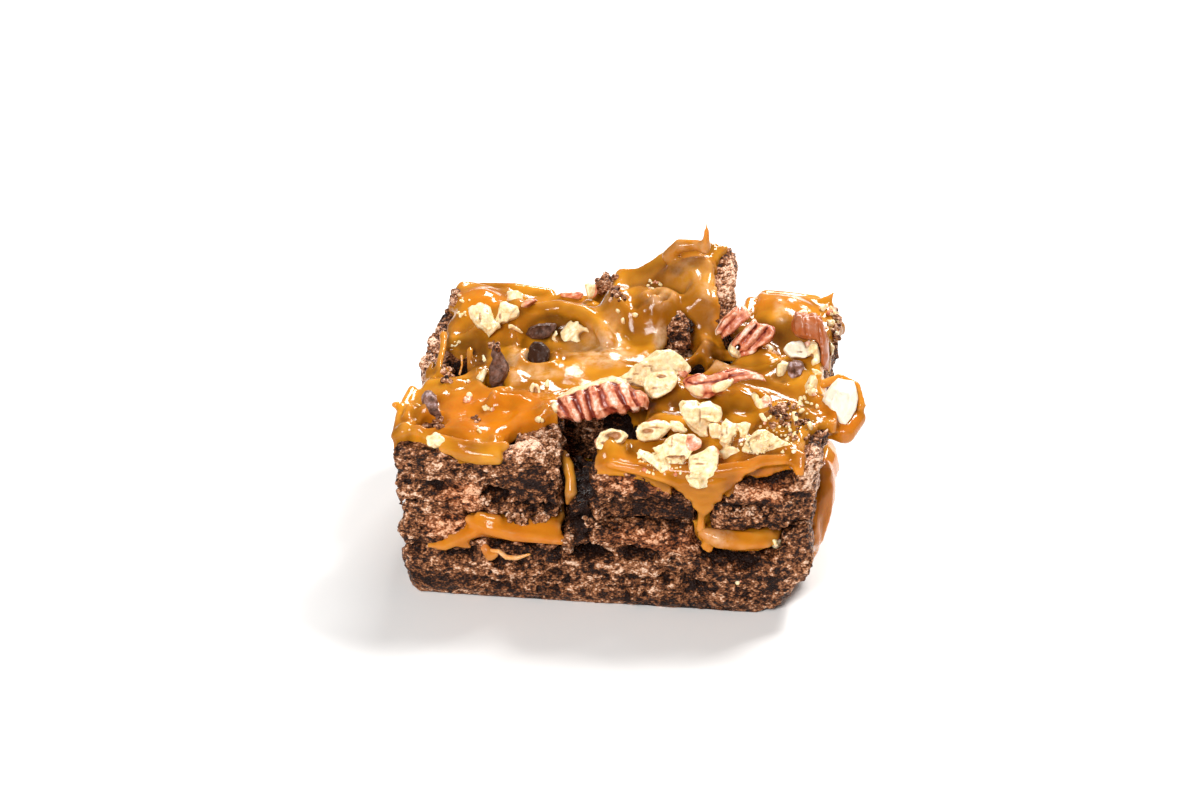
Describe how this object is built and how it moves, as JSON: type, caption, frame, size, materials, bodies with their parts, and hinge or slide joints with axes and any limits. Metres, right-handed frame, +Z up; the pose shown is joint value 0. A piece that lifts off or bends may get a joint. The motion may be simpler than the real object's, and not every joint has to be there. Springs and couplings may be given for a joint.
{
  "type": "turtle brownie",
  "caption": "Square layered brownie with caramel filling, broken upper chunks, poured caramel, pecans and chopped nuts",
  "frame": {"origin": "centre of the nominal 62 by 56 mm cut footprint, on the surface the brownie rests on", "axes": "+X to the right of the front cut face, +Y to the back, +Z up"},
  "size_m": [0.0732, 0.0585, 0.0429],
  "materials": {
    "crumb": "dark moist chocolate crumb, matt with fine pits",
    "caramel": "glossy soft caramel, slightly translucent",
    "pecan_skin": "ridged red-brown pecan skin, satin",
    "nut_flesh": "pale broken nut flesh, matt",
    "chocolate": "dark chocolate, soft sheen"
  },
  "bodies": {
    "root": {"brownie_base": "crumb", "caramel_filling": "caramel", "caramel_topping": "caramel", "chip_above": "chocolate", "chip_centre": "chocolate", "chip_corner": "chocolate", "chip_left": "chocolate", "chip_right": "chocolate", "chunk_back_left": "crumb", "chunk_back_right": "crumb", "chunk_back_tall": "crumb", "chunk_centre": "crumb", "chunk_front_left": "crumb", "chunk_front_middle": "crumb", "chunk_front_right": "crumb", "crumb_lump": "crumb", "nut_bits": "nut_flesh", "nut_broken_large": "nut_flesh", "nut_edge": "nut_flesh", "nut_flat": "nut_flesh", "nut_front": "nut_flesh", "nut_heart": "nut_flesh", "nut_hollow": "nut_flesh", "nut_left_far": "nut_flesh", "nut_left_upper": "nut_flesh", "nut_oval": "nut_flesh", "nut_ridge": "nut_flesh", "nut_right_side": "nut_flesh", "nut_right_upper": "nut_flesh", "nut_yellow": "nut_flesh", "pecan_back": "pecan_skin", "pecan_curved": "pecan_skin", "pecan_front": "pecan_skin", "pecan_lump": "pecan_skin", "pecan_slab": "pecan_skin"}
  },
  "joints": []
}
